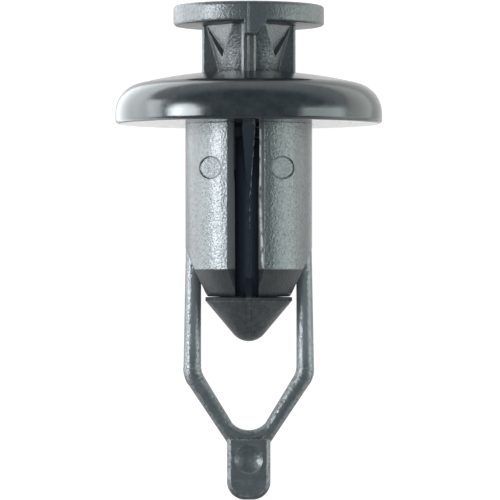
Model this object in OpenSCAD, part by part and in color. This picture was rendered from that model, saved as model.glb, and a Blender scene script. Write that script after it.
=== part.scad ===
// Push-in clip: a split grommet with a tail loop, and the ribbed pin that spreads it.
// Each piece is drawn upright about the clip's axis, with z = 0 at the face that seats on the panel,
// the head up and the front towards -y. lying() then puts the clip down as it comes to rest.

/* [Flange] */
// Outer diameter of the domed flange
flange_d = 20; // [16:0.5:30]
// Height of the crown above the seat, at the axis
crown_h = 4; // [3.4:0.1:5]
// Height of the straight band round the rim
rim_band_h = 0.8; // [0.5:0.05:1.3]
// Radius of the shoulder between the band and the crown
shoulder_r = 2.3; // [1.6:0.1:2.9]
// Fillet round the edge of the seat face
rim_fillet = 0.3; // [0.1:0.05:0.4]

/* [Barrel] */
// Outer diameter of the split barrel, for a hole 0.5 larger
barrel_d = 9.5; // [9:0.1:12]
// Length of the barrel below the seat face
barrel_len = 12.9; // [11:0.1:18]
// Length of the tapered lead at the barrel's end
lead_len = 1.75; // [1:0.05:3]
// Diameter at the end of the lead
lead_d = 6.9; // [6.2:0.1:8]
// Length of the blunt end below the lead
end_len = 0.3; // [0.1:0.05:0.5]
// Diameter at the very end of the barrel
end_d = 6.1; // [5.6:0.1:6.8]
// Height of the slope that thins each leg beside its arm
side_slope_h = 3.65; // [2.5:0.05:4]
// How far from the axis that slope ends
side_slope_x = 3.1; // [3:0.05:3.4]
// Width of the two slots between the legs, at the bore
slot_w = 1.75; // [1.6:0.05:2.6]
// Width of the slots at the outside
slot_mouth_w = 2.75; // [2.65:0.05:3.4]
// Depth of the widening mouth
slot_mouth_depth = 1.1; // [0.6:0.1:1.3]
// Angle by which the slots and the ejector marks are turned to the left of the loop's middle
slot_turn = 2.5; // [0:0.1:4]
// Diameter of the bore at the top
bore_d = 7.3; // [7.25:0.05:7.6]
// Diameter of the bore at the end of the legs
bore_end_d = 4.6; // [4:0.1:5.2]
// Diameter of the two ejector marks on the front
mark_d = 1.62; // [1:0.02:2]
// Depth of the ejector marks
mark_depth = 0.17; // [0.12:0.01:0.25]
// Distance of each mark from the middle, sideways
mark_x = 2.68; // [2.5:0.01:3]
// Distance of the marks below the seat face
mark_drop = 3.35; // [2:0.05:6]

/* [Tail loop] */
// Diameter of the loop's round arms where they leave the barrel
arm_top_d = 1.15; // [0.9:0.05:1.3]
// Diameter of the arms at the elbows
arm_d = 1.34; // [1:0.05:1.4]
// Diameter of the loop's limbs where they meet
limb_d = 1.08; // [0.8:0.02:1.3]
// How much fuller the elbows are than the arms
elbow_swell = 0.04; // [0.04:0.01:0.1]
// How far the arms' roots lie inside the barrel's surface
arm_inset = 0.04; // [0.02:0.01:0.1]
// Distance between the arms' middles at the elbows
elbow_span = 8.47; // [7.6:0.01:9]
// Distance of the elbows below the seat face
elbow_drop = 18.75; // [17:0.05:24]
// Radius of the elbow, along the middle of the arm
elbow_r = 1.6; // [1:0.1:2.5]
// Angle of the limbs to the axis
limb_angle = 32.5; // [28:0.5:36]
// Inside radius of the loop's lower bend
loop_r = 1.7; // [1.2:0.05:2]
// Width of the tab at the tail's end
tab_w = 3.25; // [2.8:0.05:4]
// Thickness of the tab
tab_t = 1.5; // [1.3:0.1:2.2]
// Length of the tab
tab_len = 4.5; // [3.6:0.1:6]
// Radius of the corners at the tab's end
tab_corner_r = 1.35; // [0.8:0.05:1.55]
// Bevel round the tab
tab_bevel = 0.28; // [0.1:0.02:0.35]
// Solid web between the loop's bend and the tab
tab_web = 0.68; // [0.4:0.02:0.9]
// Diameter of the round dimple in the tab
dimple_d = 2.12; // [1.4:0.02:2.4]
// Depth of the dimple
dimple_depth = 0.36; // [0.1:0.02:0.5]
// Distance of the dimple's middle below the tab's top
dimple_drop = 1.45; // [1.3:0.05:2]

/* [Push pin] */
// How far the pin is pushed in
stroke = 2.6; // [1.5:0.1:3.2]
// Diameter of the pin's head
head_d = 11.3; // [8:0.1:14]
// Thickness of the head
head_t = 1.5; // [1:0.1:2.5]
// Fillet round the head's edges
head_fillet = 0.25; // [0.05:0.05:0.4]
// Height of the gusset under the head's edge, which stops the pin
gusset_h = 0.9; // [0.5:0.05:1.5]
// Width of the gusset on its plain side, from the middle
gusset_in_w = 0.31; // [0.1:0.01:0.5]
// Width of the gusset on its sloping side, at the foot
gusset_out_w = 0.57; // [0.4:0.01:1]
// How much wider the sloping side is at the head
gusset_slope_w = 0.7; // [0:0.05:1]
// Overall width of the two wing ribs
wing_w = 7; // [6:0.1:7]
// Thickness of the wing ribs
wing_t = 1.2; // [0.8:0.1:1.6]
// How far the wing ribs reach below the seat face
wing_drop = 1; // [0.5:0.1:2]
// Overall reach of the middle rib, front to back
mid_rib_reach = 6.9; // [5:0.1:7]
// Thickness of the middle rib
mid_rib_t = 1.04; // [0.7:0.02:1.4]
// Bevel on the ribs' edges
rib_bevel = 0.14; // [0.05:0.01:0.2]
// Length over which the middle rib sharpens into a wedge
wedge_len = 5.5; // [3:0.1:8]
// Thickness of that wedge at its end
wedge_end_t = 0.2; // [0.1:0.02:0.6]
// Diameter of the neck's cone under the head
core_d = 6.48; // [5:0.02:6.6]
// Slope of the neck's cone
core_angle = 15.4; // [9:0.1:17]
// Diameter of the stem
stem_d = 2.3; // [1.8:0.1:2.8]
// Direction of the pockets in the neck, round from the front
pocket_turn = 50; // [46:1:54]
// Height of the pockets below the head
pocket_h = 2.5; // [1.5:0.1:2.8]
// Half the angle of a pocket's V outline
pocket_half_angle = 35; // [28:0.5:40]
// Slope of a pocket's side walls
pocket_draft = 20; // [14:1:50]
// Depth of a pocket's floor below the cone's side
pocket_depth = 0.4; // [0.3:0.05:0.7]
// Largest diameter of the arrowhead
point_d = 6.5; // [5.6:0.1:7]
// Width of the land round the arrowhead
point_land = 0.26; // [0.1:0.01:0.4]
// Angle of the arrowhead's side to the axis
point_angle = 40; // [35:0.5:45]
// Radius of the rounded tip
tip_r = 1.5; // [0.8:0.1:1.8]
// Rise of the arrowhead's back for each mm towards the stem
back_rise = 0.02; // [0.02:0.01:0.3]
// Reach of the small fins behind the arrowhead
fin_reach = 2.6; // [1.6:0.1:3]
// Height of those fins
fin_h = 1.5; // [1:0.1:3]
// Thickness of those fins
fin_t = 0.5; // [0.4:0.05:1]
// Width of the mould's parting line
flash_w = 0.12; // [0.06:0.01:0.2]
// How proud the parting line stands
flash_h = 0.05; // [0.02:0.01:0.08]

/* [Clearances] */
// Gap between the gusset and the crown when the pin is home
stop_gap = 0.03; // [0.02:0.01:0.2]
// Gap between the arrowhead and the legs when the pin is up
latch_gap = 0.05; // [0.03:0.01:0.3]
// Gap each side of a rib in its keyway
key_gap = 0.12; // [0.08:0.01:0.2]
// Gap between the neck's cone and the keyed hole with the pin home
core_gap = 0.2; // [0.1:0.02:0.3]

/* [Hidden] */
$fn = 96;
eps = 0.02;
reach = 40;

flange_r = flange_d / 2;
barrel_r = barrel_d / 2;
bore_r = bore_d / 2;
bore_end_r = bore_end_d / 2;
head_r = head_d / 2;
stem_r = stem_d / 2;
point_r = point_d / 2;

// The crown is a sphere that runs tangent into the shoulder.
shoulder_x = flange_r - shoulder_r;
crown_drop = crown_h - rim_band_h;
crown_r = (pow(shoulder_x, 2) + pow(crown_drop, 2) - pow(shoulder_r, 2)) / (2 * (crown_drop - shoulder_r));
crown_angle = atan(shoulder_x / (crown_r - crown_drop));
function crown_z(r) = crown_h - crown_r + sqrt(pow(crown_r, 2) - pow(r, 2));

// The pin stands one stroke above the place where its gusset meets the crown.
gusset_z = crown_z(bore_r) + stop_gap + stroke;
head_z = gusset_z + gusset_h;
core_h = (core_d - stem_d) / 2 / tan(core_angle);
// Radius of the neck's cone where it stands in the mouth of the hole with the pin home.
keyed_r = core_d / 2 - (head_z - stroke - crown_z(0)) * tan(core_angle) + core_gap;
// The bore stays wide enough for the wing ribs down to where they end with the pin home.
bore_straight = wing_drop + stroke + 0.3;
lead_z = end_len - barrel_len;
back_z = -(barrel_len + latch_gap);
land_z = back_z - (point_r - bore_end_r) * back_rise;
tip_z = land_z - point_land - point_r / tan(point_angle) + tip_r / sin(point_angle);

// The loop's middle line: down the arm, round the elbow and along the limb.
arm_root = 0.4;
lap = 0.15;
tab_sink = 0.2;
arm_top_x = barrel_r - arm_top_d / 2 - arm_inset;
arm_top_z = side_slope_h - barrel_len + arm_root;
elbow_x = elbow_span / 2;
arm_lean = atan((elbow_x - arm_top_x) / (elbow_drop + arm_top_z));
elbow_turn = limb_angle + arm_lean;
elbow_cut = elbow_r * tan(elbow_turn / 2);
bend_r = loop_r + limb_d / 2;
bend_z = -elbow_drop - (elbow_x * cos(limb_angle) - bend_r) / sin(limb_angle);
tab_top = bend_z - loop_r - tab_web;
tail_z = tab_top - tab_len;
limb_len = (tab_sink - elbow_drop - tab_top) / cos(limb_angle) - elbow_cut;

// At rest the clip lies on the flange's edge and on the end of the tab.
rest_dy = flange_r - rim_fillet - tab_t / 2;
rest_dz = rim_fillet - tail_z - tab_bevel;
tilt = atan2(rest_dy, rest_dz) + asin(rim_fillet / norm([rest_dy, rest_dz]));
rest_h = tab_t / 2 * cos(tilt) - (tail_z + tab_bevel) * sin(tilt);
head_end = (head_z + head_t - head_fillet) * cos(tilt)
    + (head_r - head_fillet + flash_h) * sin(tilt) + head_fillet;
tail_end = tail_z * cos(tilt) - (tab_t / 2 - tab_bevel) * sin(tilt);

// Unit vector along the limb or arm that leans in by the angle a, and the one across it.
function along(a) = [-sin(a), -cos(a)];
function inward(a) = [-cos(a), sin(a)];

module lying() {
    translate([0, -(head_end + tail_end) / 2, rest_h])
        rotate([tilt - 90, 0, 0])
            children();
}

// Draws an outline of x and height as a plate in the xz plane.
module front_plate(t) {
    rotate([90, 0, 0])
        linear_extrude(t, center = true)
            children();
}

// Draws an outline of depth and height as a plate in the yz plane, with positive depth to the front.
module side_plate(t) {
    rotate([90, 0, -90])
        linear_extrude(t, center = true)
            children();
}

// Half section of a disc with rounded edges.
module disc_profile(r, h, fillet) {
    square([r - fillet, h]);
    translate([0, fillet])
        square([r, h - 2 * fillet]);
    for (z = [fillet, h - fillet])
        translate([r - fillet, z])
            circle(r = fillet);
}

// Outline of a rib, seen along the axis, with bevelled edges.
module rib_section(w, t, bevel) {
    polygon([
        [-w / 2 + bevel, -t / 2], [w / 2 - bevel, -t / 2], [w / 2, -t / 2 + bevel], [w / 2, t / 2 - bevel],
        [w / 2 - bevel, t / 2], [-w / 2 + bevel, t / 2], [-w / 2, t / 2 - bevel], [-w / 2, -t / 2 + bevel]
    ]);
}

// Half section of the flange: filleted band, round shoulder and shallow crown.
module flange_profile() {
    square([flange_r - rim_fillet, rim_band_h]);
    translate([0, rim_fillet])
        square([flange_r, rim_band_h - rim_fillet]);
    translate([flange_r - rim_fillet, rim_fillet])
        circle(r = rim_fillet);
    intersection() {
        translate([shoulder_x, rim_band_h])
            circle(r = shoulder_r);
        translate([0, rim_band_h])
            square([flange_r, shoulder_r + eps]);
    }
    intersection() {
        translate([0, crown_h - crown_r])
            circle(r = crown_r, $fn = 720);
        polygon([
            [0, 0], [shoulder_x, 0], [shoulder_x, rim_band_h],
            [shoulder_x, rim_band_h] + 2 * shoulder_r * [sin(crown_angle), cos(crown_angle)],
            [0, crown_h + 2 * shoulder_r]
        ]);
    }
}

// Keyed hole through the flange: round for the neck's cone, with a keyway for each rib.
module keyed_hole() {
    translate([0, 0, -eps])
        cylinder(r = keyed_r, h = crown_h + 1);
    intersection() {
        translate([0, 0, -eps])
            cylinder(r = bore_r, h = crown_h + 1);
        union() {
            cube([bore_d, wing_t + 2 * key_gap, reach], center = true);
            cube([mid_rib_t + 2 * key_gap, bore_d, reach], center = true);
        }
    }
}

// Straight bore below the seat face, then a slow taper that the pin wedges open.
module barrel_bore() {
    translate([0, 0, -bore_straight])
        cylinder(r = bore_r, h = bore_straight);
    translate([0, 0, -barrel_len])
        cylinder(r1 = bore_end_r, r2 = bore_r, h = barrel_len - bore_straight);
    translate([0, 0, -barrel_len - 1])
        cylinder(r = bore_end_r, h = 1 + eps);
}

// One slot, at the front, with a mouth that widens outwards.
module slot() {
    mouth_y = sqrt(pow(barrel_r, 2) - pow(slot_mouth_w / 2, 2));
    flare = (slot_mouth_w - slot_w) / 2 / slot_mouth_depth;
    far = mouth_y + 1;
    translate([0, 0, -barrel_len - 1])
        linear_extrude(barrel_len + 1)
            polygon([
                [-slot_w / 2, 0], [-slot_w / 2, slot_mouth_depth - mouth_y],
                [-slot_mouth_w / 2 - flare, -far], [slot_mouth_w / 2 + flare, -far],
                [slot_w / 2, slot_mouth_depth - mouth_y], [slot_w / 2, 0]
            ]);
}

// Shallow round mark left by an ejector, with a flat floor square to the barrel's surface.
module ejector_mark(side) {
    intersection() {
        translate([side * mark_x, 0, -mark_drop])
            rotate([90, 0, 0])
                cylinder(d = mark_d, h = barrel_d);
        rotate([0, 0, side * asin(mark_x / barrel_r)])
            translate([-barrel_d / 2, -barrel_d, -barrel_len])
                cube([barrel_d, barrel_d - barrel_r + mark_depth, barrel_len]);
    }
}

// Flange and split barrel, with the holes for the pin.
module body() {
    difference() {
        union() {
            rotate_extrude()
                flange_profile();
            translate([0, 0, lead_z + lead_len])
                cylinder(r = barrel_r, h = rim_band_h - lead_z - lead_len);
            translate([0, 0, lead_z])
                cylinder(r1 = lead_d / 2, r2 = barrel_r, h = lead_len);
            translate([0, 0, -barrel_len])
                cylinder(d1 = end_d, d2 = lead_d, h = end_len);
        }
        keyed_hole();
        barrel_bore();
        rotate([0, 0, -slot_turn]) {
            slot();
            rotate([0, 0, 180])
                slot();
            ejector_mark(-1);
            ejector_mark(1);
        }
        for (side = [0, 1])
            mirror([side, 0, 0])
                front_plate(barrel_d + 2)
                    polygon([
                        [barrel_r, side_slope_h - barrel_len], [side_slope_x, -barrel_len],
                        [side_slope_x, -barrel_len - 1], [barrel_d, -barrel_len - 1],
                        [barrel_d, side_slope_h - barrel_len]
                    ]);
    }
}

// One side of the loop: arm, elbow and limb, all round in section.
module loop_side() {
    corner = [elbow_x, -elbow_drop];
    elbow_in = corner - elbow_cut * along(-arm_lean);
    elbow_out = corner + elbow_cut * along(limb_angle);
    elbow_mid = elbow_in + elbow_r * inward(-arm_lean);
    arm_len = norm(elbow_in - [arm_top_x, arm_top_z]);
    translate([elbow_in[0], 0, elbow_in[1]])
        rotate([0, -arm_lean, 0])
            translate([0, 0, -lap])
                cylinder(d1 = arm_d, d2 = arm_top_d, h = arm_len + lap);
    translate([elbow_mid[0], 0, elbow_mid[1]])
        rotate([-90, 0, 0])
            rotate([0, 0, -arm_lean])
                rotate_extrude(angle = elbow_turn)
                    translate([elbow_r, 0])
                        circle(d = arm_d + elbow_swell);
    translate([elbow_out[0], 0, elbow_out[1]])
        rotate([0, 180 + limb_angle, 0])
            translate([0, 0, -lap])
                cylinder(d1 = arm_d, d2 = limb_d, h = limb_len + lap);
}

// The loop's lower bend, from limb to limb.
module loop_bend() {
    translate([0, 0, bend_z])
        rotate([-90, 0, 0])
            rotate([0, 0, limb_angle])
                rotate_extrude(angle = 180 - 2 * limb_angle)
                    translate([bend_r, 0])
                        circle(d = limb_d);
}

// Bevelled tab with a rounded end and a dimple in its front.
module tab() {
    corner_x = tab_w / 2 - tab_corner_r;
    corner_z = tail_z + tab_corner_r;
    dimple_r = (pow(dimple_d / 2, 2) + pow(dimple_depth, 2)) / (2 * dimple_depth);
    difference() {
        union() {
            translate([0, 0, corner_z])
                linear_extrude(tab_top - corner_z)
                    rib_section(tab_w, tab_t, tab_bevel);
            for (side = [-1, 1])
                translate([side * corner_x, 0, corner_z])
                    rotate([90, 0, 0])
                        rotate_extrude()
                            polygon([
                                [0, -tab_t / 2], [tab_corner_r - tab_bevel, -tab_t / 2],
                                [tab_corner_r, tab_bevel - tab_t / 2], [tab_corner_r, tab_t / 2 - tab_bevel],
                                [tab_corner_r - tab_bevel, tab_t / 2], [0, tab_t / 2]
                            ]);
            translate([-corner_x, 0, corner_z])
                rotate([0, 90, 0])
                    linear_extrude(2 * corner_x)
                        rib_section(2 * tab_corner_r, tab_t, tab_bevel);
        }
        translate([0, dimple_depth - tab_t / 2 - dimple_r, tab_top - dimple_drop])
            sphere(r = dimple_r);
    }
}

module grommet() {
    color("#2b3033")
        lying() {
            body();
            for (side = [0, 1])
                mirror([side, 0, 0])
                    loop_side();
            loop_bend();
            tab();
        }
}

// Half section of the stem and the arrowhead.
module point_profile() {
    square_top = -wing_drop;
    shoulder_z = back_z + (bore_end_r - stem_r) * back_rise;
    polygon([
        [0, square_top], [stem_r, square_top], [stem_r, shoulder_z], [point_r, land_z],
        [point_r, land_z - point_land],
        [tip_r * cos(point_angle), tip_z - tip_r * sin(point_angle)], [0, tip_z]
    ]);
    intersection() {
        translate([0, tip_z])
            circle(r = tip_r);
        translate([0, tip_z - 2 * tip_r])
            square([tip_r, 2 * tip_r]);
    }
}

// Everything on the open side of one wall of a pocket, in the frame of the cone's side.
module pocket_side() {
    translate([0, 0, -pocket_h])
        rotate([0, pocket_half_angle, 0])
            rotate([0, 0, pocket_draft])
                translate([-reach, -reach / 2, -reach / 2])
                    cube(reach);
}

// Pocket in the neck's cone, with a V outline, a floor along the cone's side and sloping walls.
module neck_pocket() {
    translate([0, -core_d / 2, head_z])
        rotate([core_angle, 0, 0])
            intersection() {
                translate([-reach / 2, pocket_depth - reach, -reach / 2])
                    cube(reach);
                pocket_side();
                mirror([1, 0, 0])
                    pocket_side();
            }
}

module neck_core() {
    difference() {
        translate([0, 0, head_z - core_h])
            cylinder(r1 = stem_r, r2 = core_d / 2, h = core_h + eps);
        for (turn = [pocket_turn, -pocket_turn, 180 + pocket_turn, 180 - pocket_turn])
            rotate([0, 0, turn])
                neck_pocket();
    }
}

// Wing ribs, with a sloping foot where they run out on the stem.
module wing_ribs() {
    end_z = stem_r - wing_w / 2 - wing_drop;
    rise = head_z + 1 - end_z;
    intersection() {
        translate([0, 0, end_z - 1])
            linear_extrude(head_z + eps - end_z + 1)
                rib_section(wing_w, wing_t, rib_bevel);
        front_plate(wing_t + 1)
            polygon([
                [-stem_r - rise, head_z + 1], [-stem_r, end_z], [stem_r, end_z], [stem_r + rise, head_z + 1]
            ]);
    }
}

// Outline that narrows from w1 at the seat face to w2 at the wedge's end, and runs on past the head.
module wedge_outline(w1, w2) {
    top = head_z + 1;
    w_top = w1 + (w1 - w2) / wedge_len * top;
    polygon([[-w_top / 2, top], [-w2 / 2, -wedge_len], [w2 / 2, -wedge_len], [w_top / 2, top]]);
}

// Middle rib down to the seat face, where it goes on as a wedge between the legs.
module middle_rib() {
    intersection() {
        translate([0, 0, -wedge_len - 1])
            rotate([0, 0, 90])
                linear_extrude(head_z + eps + wedge_len + 1)
                    rib_section(mid_rib_reach, mid_rib_t, rib_bevel);
        front_plate(mid_rib_reach + 1)
            wedge_outline(mid_rib_t, wedge_end_t);
        side_plate(mid_rib_t + 1)
            wedge_outline(mid_rib_reach, stem_d - wedge_end_t);
    }
}

// Gusset under the head's edge, flush with the rim. It stops the pin and leaves a gap to prise the head.
module gusset() {
    top = head_z + head_t / 2;
    wide = gusset_out_w + gusset_slope_w;
    intersection() {
        translate([0, 0, gusset_z])
            cylinder(r = head_r, h = top - gusset_z);
        translate([0, -head_r, 0])
            front_plate(head_d)
                polygon([
                    [-gusset_in_w, top + 1], [-gusset_in_w, gusset_z - 1], [gusset_out_w, gusset_z - 1],
                    [gusset_out_w, gusset_z], [wide, head_z], [wide, top + 1]
                ]);
    }
}

// Fins that brace the arrowhead's back inside the slots.
module point_fins() {
    side_plate(fin_t)
        polygon([
            [-fin_reach, land_z], [-stem_r, back_z + fin_h], [stem_r, back_z + fin_h], [fin_reach, land_z]
        ]);
}

// Fine ridge where the mould's halves met, down the front and the back.
module parting_line() {
    for (turn = [0, 180])
        rotate([0, 0, turn])
            side_plate(flash_w) {
                translate([flash_h, head_z])
                    disc_profile(head_r, head_t, head_fillet);
                translate([0, gusset_z])
                    square([head_r + flash_h, gusset_h + head_fillet]);
                square([mid_rib_reach / 2 + flash_h, head_z]);
                difference() {
                    translate([flash_h, 0])
                        point_profile();
                    translate([0, tip_z - 2 * tip_r])
                        square([tip_r / 2, 2 * tip_r]);
                }
            }
}

module push_pin() {
    color("#24292c")
        lying() {
            translate([0, 0, head_z])
                rotate_extrude()
                    disc_profile(head_r, head_t, head_fillet);
            neck_core();
            wing_ribs();
            middle_rib();
            for (turn = [0, 180])
                rotate([0, 0, turn])
                    gusset();
            rotate_extrude()
                point_profile();
            point_fins();
            parting_line();
        }
}

grommet();
push_pin();
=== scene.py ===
import math
import bpy
from mathutils import Matrix, Vector

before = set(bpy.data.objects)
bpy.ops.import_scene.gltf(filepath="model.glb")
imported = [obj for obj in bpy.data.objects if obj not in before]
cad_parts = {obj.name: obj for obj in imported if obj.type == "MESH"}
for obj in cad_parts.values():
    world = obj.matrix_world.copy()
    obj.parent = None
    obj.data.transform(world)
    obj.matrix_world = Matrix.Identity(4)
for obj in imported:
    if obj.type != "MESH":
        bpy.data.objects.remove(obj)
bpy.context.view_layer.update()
print("frame loaded:", sorted(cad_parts))

millimetre = 0.001

# The clip lies on its flange and its tab. On its own axes, in millimetres, x runs across it, z up the shank
# from the seat face, and -y to its front.
clip = {
    "seat": Vector((0, 0.00836394, 0.00941915)),
    "tiltDeg": 18.2324,
}
clipTurn = Matrix.Rotation(math.radians(clip["tiltDeg"] - 90), 3, "X")
clipUp = clipTurn @ Vector((0, 0, 1))
clipTail = clipTurn @ Vector((0, 0, -1))
clipFront = clipTurn @ Vector((0, -1, 0))


def fromClip(point):  # a point on the clip's own axes, as a place in the scene
    return clip["seat"] + clipTurn @ (Vector(point) * millimetre)


def fromFront(azimuth, elevation):  # a direction: degrees to the right of the clip's front, and up its shank
    a, e = math.radians(azimuth), math.radians(elevation)
    return clipTurn @ Vector((math.sin(a) * math.cos(e), -math.cos(a) * math.cos(e), math.sin(e)))


# Camera: square on to the front of the clip, with a long lens from a hand's length away.
shot = {
    "aim": (0.094, 0, -9.43),
    "distance": 0.238,
    "lens": 228.6,
    "sensor": 36,
    "nearLimit": 0.01,
    "farLimit": 20,
}


def addCamera():
    data = bpy.data.cameras.new("shotCamera")
    data.lens = shot["lens"]
    data.sensor_width = shot["sensor"]
    data.clip_start = shot["nearLimit"]
    data.clip_end = shot["farLimit"]
    camera = bpy.data.objects.new("shotCamera", data)
    bpy.context.scene.collection.objects.link(camera)
    aim = Matrix.Translation(fromClip(shot["aim"]))
    turn = clipTurn @ Matrix.Rotation(math.pi / 2, 3, "X")
    back = Matrix.Translation((0, 0, shot["distance"]))
    camera.matrix_world = aim @ turn.to_4x4() @ back
    bpy.context.scene.camera = camera


addCamera()
bpy.context.scene.view_settings.view_transform = "Standard"
print("camera placed")


# Small helpers for shader trees. A value is a number, a colour or another node's socket.
def setInput(tree, socket, value):
    if isinstance(value, bpy.types.NodeSocket):
        tree.links.new(value, socket)
    else:
        socket.default_value = value


def addNode(tree, kind, inputs=None, **settings):
    node = tree.nodes.new("ShaderNode" + kind)
    for name, value in settings.items():
        setattr(node, name, value)
    for name, value in (inputs or {}).items():
        setInput(tree, node.inputs[name], value)
    return node


def calc(tree, operation, first, second=0.0, third=0.0, clamp=False):
    inputs = {0: first, 1: second, 2: third}
    return addNode(tree, "Math", inputs, operation=operation, use_clamp=clamp).outputs[0]


def multiply(tree, first, *others):
    for other in others:
        first = calc(tree, "MULTIPLY", first, other)
    return first


def highest(tree, first, second):
    return calc(tree, "MAXIMUM", first, second)


def absolute(tree, value):
    return calc(tree, "ABSOLUTE", value)


def hypotenuse(tree, first, second):
    squares = calc(tree, "ADD", calc(tree, "POWER", first, 2.0), calc(tree, "POWER", second, 2.0))
    return calc(tree, "SQRT", squares)


def dot(tree, first, second):
    return addNode(tree, "VectorMath", {0: first, 1: second}, operation="DOT_PRODUCT").outputs["Value"]


def ramp(tree, value, edge, levels=(0.0, 1.0)):  # rises softly from the first end of the edge to the second
    inputs = {
        "Value": value,
        "From Min": edge[0],
        "From Max": edge[1],
        "To Min": levels[0],
        "To Max": levels[1],
    }
    return addNode(tree, "MapRange", inputs, interpolation_type="SMOOTHSTEP").outputs["Result"]


def blendColor(tree, share, first, second):
    node = addNode(tree, "Mix", data_type="RGBA")
    for index, value in ((0, share), (6, first), (7, second)):
        setInput(tree, node.inputs[index], value)
    return node.outputs[2]


def blendValue(tree, share, first, second):
    node = addNode(tree, "Mix", data_type="FLOAT")
    for index, value in ((0, share), (2, first), (3, second)):
        setInput(tree, node.inputs[index], value)
    return node.outputs[0]


def newMaterial(name):
    material = bpy.data.materials.new(name)
    material.use_nodes = True
    material.node_tree.nodes.clear()
    return material, material.node_tree


# Stage: a white floor, and a world that is white to the eye and dark in front in reflections.
stage = {
    "floorSize": 6.0,
    "floorColor": (0.8, 0.8, 0.8, 1),
    "shownColor": (0.25, 0.25, 0.25, 1),
    "shownGlow": 0.9,
    "tailGlow": 0.3,
    "fanStart": (-0.008, -0.016),
    "fanWidth": (0.5, 0.8),
    "skyWhite": 1.0,
    "skyBehind": 1.4,
    "skyFront": 0.34,
    "skyTail": 0.45,
    "skyFill": 0.4,
    "frontEdge": (0.05, 0.45),
    "tailEdge": (0.45, 0.8),
    "fillColor": (1, 1, 1, 1),
    "behindColor": (0.92, 1.0, 1.04, 1),
    "frontColor": (0.70, 0.98, 1.2, 1),
}


def addFloor():
    half = stage["floorSize"] / 2
    mesh = bpy.data.meshes.new("floor")
    corners = [(-half, -half, 0), (half, -half, 0), (half, half, 0), (-half, half, 0)]
    mesh.from_pydata(corners, [], [(0, 1, 2, 3)])
    floor = bpy.data.objects.new("floor", mesh)
    bpy.context.scene.collection.objects.link(floor)
    material, tree = newMaterial("whiteFloor")
    path = addNode(tree, "LightPath").outputs
    seen = highest(tree, path["Is Camera Ray"], path["Is Transmission Ray"])
    shown = highest(tree, seen, path["Is Glossy Ray"])
    color = blendColor(tree, shown, stage["floorColor"], stage["shownColor"])
    # beyond the tail the gloss sees a darker fan of floor, so that what faces the tail stays dark
    place = addNode(tree, "TexCoord").outputs["Object"]
    axes = addNode(tree, "SeparateXYZ", {0: place}).outputs
    away = addNode(tree, "VectorMath", {0: place}, operation="NORMALIZE").outputs["Vector"]
    along = dot(tree, away, (0, -1, 0))
    fan = multiply(tree, ramp(tree, axes[1], stage["fanStart"]), ramp(tree, along, stage["fanWidth"]))
    fan = multiply(tree, fan, path["Is Glossy Ray"])
    glow = blendValue(tree, fan, stage["shownGlow"], stage["tailGlow"])
    diffuse = addNode(tree, "BsdfDiffuse", {"Color": color})
    light = addNode(tree, "Emission", {"Strength": multiply(tree, shown, glow)})
    both = addNode(tree, "AddShader", {0: diffuse.outputs[0], 1: light.outputs[0]})
    addNode(tree, "OutputMaterial", {"Surface": both.outputs[0]})
    mesh.materials.append(material)


def addWorld():
    world = bpy.data.worlds.new("studio")
    world.use_nodes = True
    tree = world.node_tree
    tree.nodes.clear()
    path = addNode(tree, "LightPath").outputs
    glossy = path["Is Glossy Ray"]
    seen = highest(tree, path["Is Camera Ray"], path["Is Transmission Ray"])
    direction = addNode(tree, "TexCoord").outputs["Generated"]
    inFront = ramp(tree, dot(tree, direction, clipFront), stage["frontEdge"])
    atTail = ramp(tree, dot(tree, direction, clipTail), stage["tailEdge"])
    mirrored = blendValue(tree, inFront, stage["skyBehind"], stage["skyFront"])
    mirrored = blendValue(tree, atTail, mirrored, stage["skyTail"])
    strength = blendValue(tree, glossy, stage["skyFill"], mirrored)
    strength = blendValue(tree, seen, strength, stage["skyWhite"])
    tint = blendColor(tree, inFront, stage["behindColor"], stage["frontColor"])
    tint = blendColor(tree, glossy, stage["fillColor"], tint)
    sky = addNode(tree, "Background", {"Color": tint, "Strength": strength})
    addNode(tree, "OutputWorld", {"Surface": sky.outputs[0]})
    bpy.context.scene.world = world


# Lamps: flat soft panels that face the clip, with widths and heights in degrees, as the clip sees them.
# Glow is brightness beside white. A panel lights either the clip's gloss or its plain colour.
lamps = {
    "plainPanel": {
        "azimuth": -40, "elevation": 15, "width": 60, "height": 60, "shape": "RECTANGLE",
        "glow": 1.0, "color": (1.0, 1.0, 1.0), "gloss": False,
    },
    "plainRightPanel": {
        "azimuth": 60, "elevation": 10, "width": 50, "height": 60, "shape": "RECTANGLE",
        "glow": 0.9, "color": (1.0, 1.0, 1.0), "gloss": False,
    },
    "plainFrontPanel": {
        "azimuth": 0, "elevation": 0, "width": 24, "height": 40, "shape": "RECTANGLE",
        "glow": 4.0, "color": (1.0, 1.0, 1.0), "gloss": False,
    },
    "keyPanel": {
        "azimuth": -57, "elevation": 4, "width": 30, "height": 28, "shape": "ELLIPSE",
        "glow": 18, "color": (0.93, 1.0, 1.04), "gloss": True,
    },
    "keyHeart": {
        "azimuth": -62, "elevation": 6, "width": 12, "height": 12, "shape": "ELLIPSE",
        "glow": 10, "color": (0.93, 1.0, 1.04), "gloss": True,
    },
    "leftPanel": {
        "azimuth": -93, "elevation": 2, "width": 26, "height": 50, "shape": "RECTANGLE",
        "glow": 7, "color": (0.93, 1.0, 1.04), "gloss": True,
    },
    "fillPanel": {
        "azimuth": 67, "elevation": -2, "width": 44, "height": 26, "shape": "RECTANGLE",
        "glow": 5.1, "color": (0.86, 1.0, 0.93), "gloss": True,
    },
}
lampDistance = 0.25
lampAim = (0, 0, -4)

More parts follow.
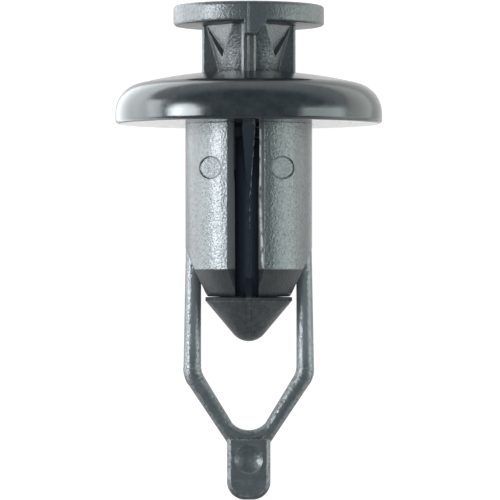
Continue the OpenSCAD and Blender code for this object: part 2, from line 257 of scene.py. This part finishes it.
# White cards that lie on the floor beside the clip, in millimetres, and show only in its gloss.
cards = {
    "leftNearCard": {"x": (-40, -14), "y": (-19, 120), "glow": 2.9, "color": (0.93, 1.0, 1.04)},
    "leftFarCard": {"x": (-600, -40), "y": (-19, 120), "glow": 4.3, "color": (0.93, 1.0, 1.04)},
    "rightCard": {"x": (25, 400), "y": (-120, 120), "glow": 1.4, "color": (0.86, 1.0, 0.93)},
}
cardHeight = 0.3


def newPanel(name, wide, tall, settings):
    data = bpy.data.lights.new(name, "AREA")
    data.shape = settings.get("shape", "RECTANGLE")
    data.size = wide
    data.size_y = tall
    data.color = settings["color"]
    share = math.pi / 4 if data.shape == "ELLIPSE" else 1
    data.energy = settings["glow"] * math.pi * wide * tall * share
    lamp = bpy.data.objects.new(name, data)
    bpy.context.scene.collection.objects.link(lamp)
    lamp.visible_camera = False
    lamp.visible_glossy = settings.get("gloss", True)
    lamp.visible_diffuse = not lamp.visible_glossy
    return lamp


def spanOf(angle):  # how long something is that takes up this angle at the lamps' distance
    return 2 * lampDistance * math.tan(math.radians(angle / 2))


def addLamp(name, settings):
    lamp = newPanel(name, spanOf(settings["width"]), spanOf(settings["height"]), settings)
    back = fromFront(settings["azimuth"], settings["elevation"])
    side = clipUp.cross(back).normalized()
    turn = Matrix((side, back.cross(side), back)).transposed()
    lamp.matrix_world = Matrix.Translation(fromClip(lampAim) + back * lampDistance) @ turn.to_4x4()


def addCard(name, settings):
    (left, right), (near, far) = settings["x"], settings["y"]
    card = newPanel(name, (right - left) * millimetre, (far - near) * millimetre, settings)
    middle = Vector(((left + right) / 2, (near + far) / 2, cardHeight)) * millimetre
    card.matrix_world = Matrix.Translation(middle) @ Matrix.Rotation(math.pi, 4, "X")


addFloor()
addWorld()
for lampName, lampSettings in lamps.items():
    addLamp(lampName, lampSettings)
for cardName, cardSettings in cards.items():
    addCard(cardName, cardSettings)
print("stage and lamps ready")


# Black moulded nylon, as far as both mouldings share it. A noise is its scale per millimetre, its detail and
# its roughness, and an edge is where a ramp starts and where it is full.
nylon = {
    "grainNoise": (6.0, 1.0, 0.5),
    "lumpNoise": (2.2, 2.0, 0.5),
    "waveNoise": (0.35, 1.0, 0.5),
    "scuffAndGlintNoise": (2.2, 5.0, 0.7),
    "speckNoise": (4.5, 2.0, 0.6),
    "mottleNoise": (1.3, 6.0, 0.65),
    "glintLineNoise": (1.6, 4.0, 0.5),
    "waveDepth": 0.00002,
    "edgeRadius": 0.0001,
    "edgeSamples": 4,
    "edgeBend": (0.995, 0.9),
    "scuffAndGlintEdge": (0.4, 0.6),
    "speckEdge": (0.38, 0.56),
    "speckShare": 0.5,
    "mottleEdge": (0.3, 0.7),
    "mottleRough": 0.06,
    "grainShare": 0.9,
    "sheenPatchEdge": (0.45, 0.65),
    "sheenPatchShare": 0.2,
    "slantSheenEdge": (0.95, 0.75),
    "slantSheenSpeckEdge": (0.3, 0.6),
    "glintLineEdge": (0.36, 0.58),
    "ior": 1.5,
    "coatIor": 1.6,
}


def clipPlace(tree):  # millimetres on the clip's own axes
    back = clipTurn.transposed()
    inputs = {
        "Vector": addNode(tree, "TexCoord").outputs["Object"],
        "Location": back @ clip["seat"] / -millimetre,
        "Rotation": back.to_euler(),
        "Scale": (1 / millimetre, 1 / millimetre, 1 / millimetre),
    }
    return addNode(tree, "Mapping", inputs, vector_type="POINT").outputs[0]


def noise(tree, place, name):
    scale, detail, roughness = nylon[name]
    inputs = {"Vector": place, "Scale": scale, "Detail": detail, "Roughness": roughness}
    return addNode(tree, "TexNoise", inputs).outputs["Fac"]


def bump(tree, distance, height, normal):
    inputs = {"Strength": 1.0, "Distance": distance, "Height": height, "Normal": normal}
    return addNode(tree, "Bump", inputs).outputs[0]


# Each zone of a piece has its own finish, as its part of the mould had. The zones give shares from 0 to 1,
# the roughness, and the paint: the colours that lie over one another, each with its share, among them
# painted shade and painted sheen.
def plastic(name, settings, zones):
    material, tree = newMaterial(name)
    place = clipPlace(tree)
    zone = zones(tree, addNode(tree, "SeparateXYZ", {0: place}).outputs, settings)
    coarse = noise(tree, place, "lumpNoise")
    speck = noise(tree, place, "speckNoise")
    mottle = ramp(tree, noise(tree, place, "mottleNoise"), nylon["mottleEdge"])
    # spark-eroded grain over slow waves, with coarser lumps on the loop and the arrowhead
    lumps = multiply(tree, coarse, zone["lumps"], settings["lumpShare"])
    height = calc(tree, "MULTIPLY_ADD", noise(tree, place, "grainNoise"), zone["grain"], lumps)
    edges = addNode(tree, "Bevel", {"Radius": nylon["edgeRadius"]}, samples=nylon["edgeSamples"])
    rounded = edges.outputs[0]
    waves = bump(tree, nylon["waveDepth"], noise(tree, place, "waveNoise"), rounded)
    grain = bump(tree, settings["grainDepth"], height, waves)
    # the plain colour is mottled, and paler where it is grained
    color = blendColor(tree, mottle, settings["darkColor"], settings["lightColor"])
    grained = multiply(tree, zone["coat"], nylon["grainShare"])
    color = blendColor(tree, grained, color, settings["grainColor"])
    for share, paint in zone["paint"]:
        color = blendColor(tree, share, color, paint)
    # painted sheen: pale blotches on the loop and the arrowhead stand in for blotchy reflections
    sheenPatches = multiply(tree, ramp(tree, coarse, nylon["sheenPatchEdge"]), zone["lumps"], nylon["sheenPatchShare"])
    color = blendColor(tree, sheenPatches, color, settings["patchSheenColor"])
    flat = addNode(tree, "NewGeometry").outputs["Normal"]
    if "sheenSides" in zone:  # painted sheen: the slanting faces of the loop and the tab are painted paler than what faces the front, for the light they catch
        slantSheen = ramp(tree, absolute(tree, dot(tree, flat, clipFront)), nylon["slantSheenEdge"])
        slantSheen = multiply(tree, slantSheen, ramp(tree, speck, nylon["slantSheenSpeckEdge"]), zone["sheenSides"])
        color = blendColor(tree, slantSheen, color, settings["sideSheenColor"])
    # edges are worn paler in places, and along the loop, the slot and the right half of the pin's stem the
    # pale edges are painted glints
    edge = ramp(tree, dot(tree, rounded, flat), nylon["edgeBend"])
    scuffAndGlint = ramp(tree, noise(tree, place, "scuffAndGlintNoise"), nylon["scuffAndGlintEdge"])
    color = blendColor(tree, multiply(tree, edge, scuffAndGlint, zone["wearAndGlint"]), color, settings["wornAndGlintColor"])
    if "glintLine" in zone:  # painted glint: a broken pale line down the slot's right-hand edge, where the light catches it
        broken = ramp(tree, noise(tree, place, "glintLineNoise"), nylon["glintLineEdge"])
        color = blendColor(tree, multiply(tree, zone["glintLine"], broken), color, settings["glintLineColor"])
    # the grain's shine has dark specks
    pale = ramp(tree, speck, nylon["speckEdge"], (1 - nylon["speckShare"], 1.0))
    inputs = {
        "Base Color": color,
        "Roughness": calc(tree, "MULTIPLY_ADD", mottle, nylon["mottleRough"], zone["rough"], clamp=True),
        "IOR": nylon["ior"],
        "Normal": grain,
        "Coat Weight": multiply(tree, zone["coat"], settings["coat"], pale),
        "Coat Roughness": settings["coatRough"],
        "Coat IOR": nylon["coatIor"],
        "Coat Normal": grain,
    }
    shader = addNode(tree, "BsdfPrincipled", inputs)
    addNode(tree, "OutputMaterial", {"Surface": shader.outputs[0]})
    return material


# Heights, depths and radii of the zones are in millimetres on the clip's own axes.
grommetFinish = {
    "darkColor": (0.012, 0.015, 0.017, 1),
    "lightColor": (0.022, 0.027, 0.030, 1),
    "grainColor": (0.045, 0.055, 0.058, 1),
    "insideShadeColor": (0.065, 0.093, 0.126, 1),
    "slotSheenColor": (0.10, 0.115, 0.12, 1),
    "armSheenColor": (0.085, 0.1, 0.105, 1),
    "patchSheenColor": (0.1, 0.115, 0.12, 1),
    "sideSheenColor": (0.14, 0.16, 0.165, 1),
    "wornAndGlintColor": (0.38, 0.41, 0.42, 1),
    "glintLineColor": (0.86, 0.9, 0.92, 1),
    "domeHeight": (-0.05, 0.02),
    "domeRough": 0.17,
    "seatHeight": (0.08, 0.03),
    "seatRadius": (4.8, 4.9),
    "seatRough": 0.06,
    "armHeight": (-9.0, -9.6),
    "armDepth": (0.8, 0.7),
    "armSheenHeight": (-19.0, -16.0),
    "loopHeight": (-12.95, -13.05),
    "loopRough": 0.36,
    "tabHeight": (-23.2, -23.6),
    "tabRough": 0.44,
    "tabCoat": 0.75,
    "sheenSideHeight": (-14.5, -17.0),
    "sheenSideAcross": (1.2, 1.35),
    "sheenSideTabHeight": (-23.9, -23.7),
    "barrelRough": 0.34,
    "boreTaper": 0.15,
    "boreRadius": 4.24,
    "boreWidest": 3.65,
    "boreSkin": (0.15, 0.05),
    "boreRough": 0.4,
    "leadHeight": (-10.8, -10.92),
    "leadRough": 0.42,
    "slotRadius": (4.66, 4.58),
    "slotHeight": (-10.9, -10.7),
    "slotRough": 0.55,
    "markAcross": 2.68,
    "markShift": 0.17,
    "markDrop": 3.35,
    "markRadius": 0.81,
    "markDepth": (0.0, -0.5),
    "shadeRingEdge": (0.11, 0.03),
    "shadeRingShare": 0.8,
    "glintLineAcross": 0.84,
    "glintLineLean": -0.035,
    "glintLineBend": 5.5,
    "glintLineEdge": (0.16, 0.0),
    "glintLineDepth": (-3.5, -3.58),
    "grainDepth": 0.000026,
    "smoothGrain": 0.05,
    "lumpShare": 1.6,
    "firmWear": 0.12,
    "looseWearAndGlint": 0.7,
    "coat": 0.54,
    "coatRough": 0.27,
}


def markShadeRing(tree, axes, settings):  # painted shade: a dark ring round each ejector-pin mark, for the shade in its recessed edge, partly its real witness line
    across = absolute(tree, calc(tree, "ADD", axes[0], settings["markShift"]))
    across = calc(tree, "SUBTRACT", across, settings["markAcross"])
    down = calc(tree, "ADD", axes[2], settings["markDrop"])
    offRing = calc(tree, "SUBTRACT", hypotenuse(tree, across, down), settings["markRadius"])
    ring = ramp(tree, absolute(tree, offRing), settings["shadeRingEdge"])
    return multiply(tree, ring, ramp(tree, axes[1], settings["markDepth"]))


def glintLineMask(tree, axes, settings):  # painted glint: down the right of the slot, and to the right where it runs out
    below = calc(tree, "MINIMUM", calc(tree, "ADD", axes[2], settings["glintLineBend"]), 0.0)
    line = calc(tree, "MULTIPLY_ADD", below, settings["glintLineLean"], settings["glintLineAcross"])
    offLine = absolute(tree, calc(tree, "SUBTRACT", axes[0], line))
    thin = ramp(tree, offLine, settings["glintLineEdge"])
    return multiply(tree, thin, ramp(tree, axes[1], settings["glintLineDepth"]))


def grommetZones(tree, axes, settings):
    height = axes[2]
    radius = hypotenuse(tree, axes[0], axes[1])

    def byHeight(name):
        return ramp(tree, height, settings[name])

    dome = byHeight("domeHeight")
    seat = multiply(tree, dome, byHeight("seatHeight"), ramp(tree, radius, settings["seatRadius"]))
    arms = multiply(tree, byHeight("armHeight"), ramp(tree, absolute(tree, axes[1]), settings["armDepth"]))
    loop = highest(tree, arms, byHeight("loopHeight"))
    tab = byHeight("tabHeight")
    barrel = calc(tree, "SUBTRACT", 1.0, highest(tree, loop, dome))
    boreEdge = calc(tree, "MULTIPLY_ADD", height, settings["boreTaper"], settings["boreRadius"])
    boreEdge = calc(tree, "MINIMUM", boreEdge, settings["boreWidest"])
    bore = ramp(tree, calc(tree, "SUBTRACT", radius, boreEdge), settings["boreSkin"])
    inside = multiply(tree, bore, barrel)
    outside = calc(tree, "SUBTRACT", barrel, inside)
    lead = multiply(tree, outside, byHeight("leadHeight"))
    slot = multiply(tree, outside, ramp(tree, radius, settings["slotRadius"]), byHeight("slotHeight"))
    rough = settings["barrelRough"]
    for share, name in (
        (inside, "boreRough"), (slot, "slotRough"), (lead, "leadRough"), (loop, "loopRough"),
        (tab, "tabRough"), (dome, "domeRough"), (seat, "seatRough"),
    ):
        rough = blendValue(tree, share, rough, settings[name])
    smooth = highest(tree, dome, inside)
    # the painted shade ring dims the grain's paler colour and its shine
    shadeRingDim = calc(tree, "MULTIPLY_ADD", markShadeRing(tree, axes, settings), -settings["shadeRingShare"], 1.0)
    coat = calc(tree, "SUBTRACT", calc(tree, "SUBTRACT", 1.0, smooth), lead)
    coat = blendValue(tree, tab, multiply(tree, coat, shadeRingDim), settings["tabCoat"])
    outer = ramp(tree, absolute(tree, axes[0]), settings["sheenSideAcross"])
    outer = highest(tree, outer, byHeight("sheenSideTabHeight"))
    armSheen = multiply(tree, loop, byHeight("armSheenHeight"))
    return {
        "grain": blendValue(tree, smooth, 1.0, settings["smoothGrain"]),
        "lumps": loop,
        "coat": coat,
        "rough": rough,
        "wearAndGlint": blendValue(tree, highest(tree, loop, slot), settings["firmWear"], settings["looseWearAndGlint"]),
        "paint": [
            # painted shade: the bore is painted a paler blue-grey for the bluish shade inside it
            (inside, settings["insideShadeColor"]),
            # painted sheen: the slot's mouth facets are painted paler for the light they catch
            (slot, settings["slotSheenColor"]),
            # painted sheen: the upper arms are painted paler for the light they catch
            (armSheen, settings["armSheenColor"]),
        ],
        "sheenSides": multiply(tree, loop, outer, byHeight("sheenSideHeight")),
        "glintLine": multiply(tree, slot, glintLineMask(tree, axes, settings)),
    }


pinFinish = {
    "darkColor": (0.011, 0.014, 0.016, 1),
    "lightColor": (0.020, 0.025, 0.028, 1),
    "grainColor": (0.030, 0.036, 0.039, 1),
    "insideShadeColor": (0.019, 0.029, 0.041, 1),
    "patchSheenColor": (0.08, 0.092, 0.096, 1),
    "wornAndGlintColor": (0.85, 0.9, 0.93, 1),
    "headHeight": (-0.5, 0.5),
    "headRough": 0.4,
    "pointHeight": (-12.5, -12.9),
    "pointRough": 0.42,
    "pointCoat": 0.12,
    "rearTopHeight": (-12.8, -12.9),
    "rearLowHeight": (-13.26, -13.2),
    "rearRough": 1.0,
    "ribGlintHeight": (-8.0, -7.6),
    "ribGlintAcross": (0.02, 0.1),
    "ribGlint": 0.9,
    "wearAndGlint": 0.06,
    "grainDepth": 0.00003,
    "insideGrain": 0.3,
    "lumpShare": 2.0,
    "coat": 0.56,
    "coatRough": 0.38,
}


def pinZones(tree, axes, settings):
    def byHeight(name):
        return ramp(tree, axes[2], settings[name])

    head = byHeight("headHeight")
    point = byHeight("pointHeight")
    rear = multiply(tree, byHeight("rearTopHeight"), byHeight("rearLowHeight"))
    inside = calc(tree, "SUBTRACT", 1.0, highest(tree, head, point))
    rough = blendValue(tree, head, settings["pointRough"], settings["headRough"])
    pointShine = calc(tree, "SUBTRACT", point, rear, clamp=True)
    # painted glint: the edges of the stem's right half, inside the barrel, take the pale edge colour
    # strongly
    ribGlintEdge = multiply(tree, byHeight("ribGlintHeight"), ramp(tree, axes[0], settings["ribGlintAcross"]))
    ribGlintEdge = multiply(tree, inside, ribGlintEdge)
    return {
        "grain": blendValue(tree, inside, 1.0, settings["insideGrain"]),
        "lumps": point,
        "coat": calc(tree, "MULTIPLY_ADD", pointShine, settings["pointCoat"], head),
        "rough": blendValue(tree, rear, rough, settings["rearRough"]),
        "wearAndGlint": calc(tree, "MULTIPLY_ADD", ribGlintEdge, settings["ribGlint"], settings["wearAndGlint"]),
        # painted shade: the stem inside the barrel is painted blue-grey for the bluish shade round it
        "paint": [(inside, settings["insideShadeColor"])],
    }


def dress(node, material):
    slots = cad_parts[node].data.materials
    for index in range(len(slots)):
        slots[index] = material
    if not len(slots):
        slots.append(material)


dress("grommet", plastic("blackNylonGrommet", grommetFinish, grommetZones))
dress("push_pin", plastic("blackNylonPin", pinFinish, pinZones))
print("plastic finishes on")
